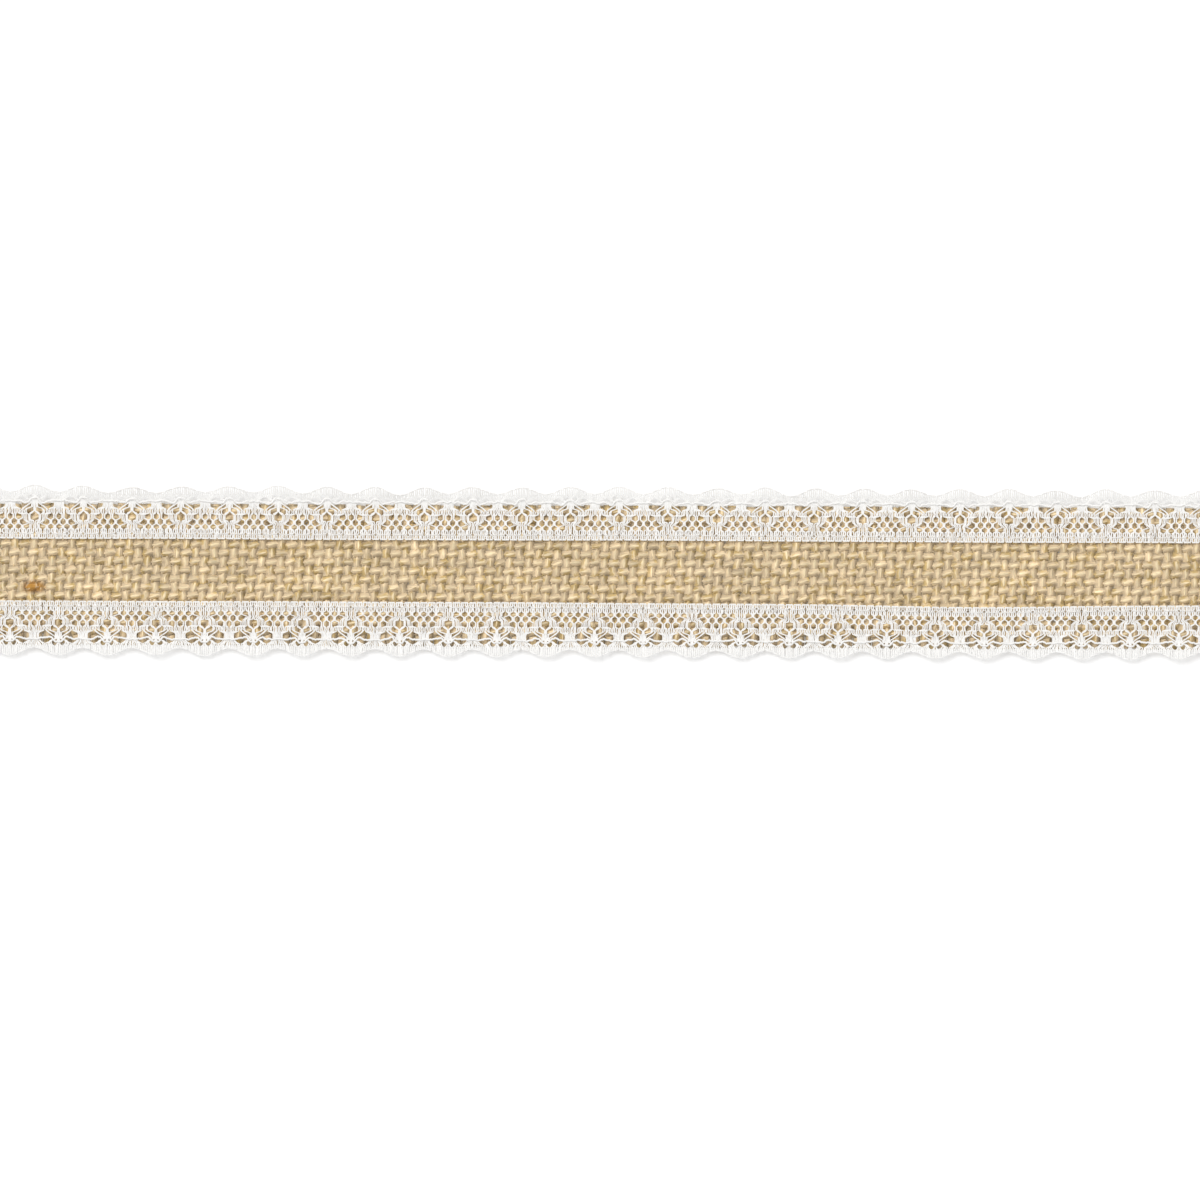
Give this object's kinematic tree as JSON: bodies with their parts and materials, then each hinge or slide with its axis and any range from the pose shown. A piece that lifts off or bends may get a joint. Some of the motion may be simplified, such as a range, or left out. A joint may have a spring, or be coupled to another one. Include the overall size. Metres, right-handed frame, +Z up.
{
  "type": "table runner",
  "caption": "Narrow flat table runner: an open plain-woven burlap band with a scalloped cotton lace trim lockstitched along each long edge and short fringed ends.",
  "frame": {"origin": "middle of the runner's underside, on the surface it lies on", "axes": "+X along the runner, +Y across it towards the back lace, +Z up out of the face with the lace"},
  "size_m": [0.914, 0.05, 0.0024],
  "materials": {
    "jute_burlap": "matte natural jute, open plain weave of flattened slubby yarns",
    "cotton_lace": "matte off-white cotton lace, openwork",
    "lace_gimp": "soft white cotton gimp, slight sheen",
    "sewing_thread": "white spun sewing thread, slight sheen"
  },
  "bodies": {
    "root": {"burlap_band": "jute_burlap", "lace_trim_front": "cotton_lace", "lace_trim_back": "cotton_lace", "lace_gimp_front": "lace_gimp", "lace_gimp_back": "lace_gimp", "needle_thread_front": "sewing_thread", "needle_thread_back": "sewing_thread", "bobbin_thread_front": "sewing_thread", "bobbin_thread_back": "sewing_thread"}
  },
  "joints": []
}
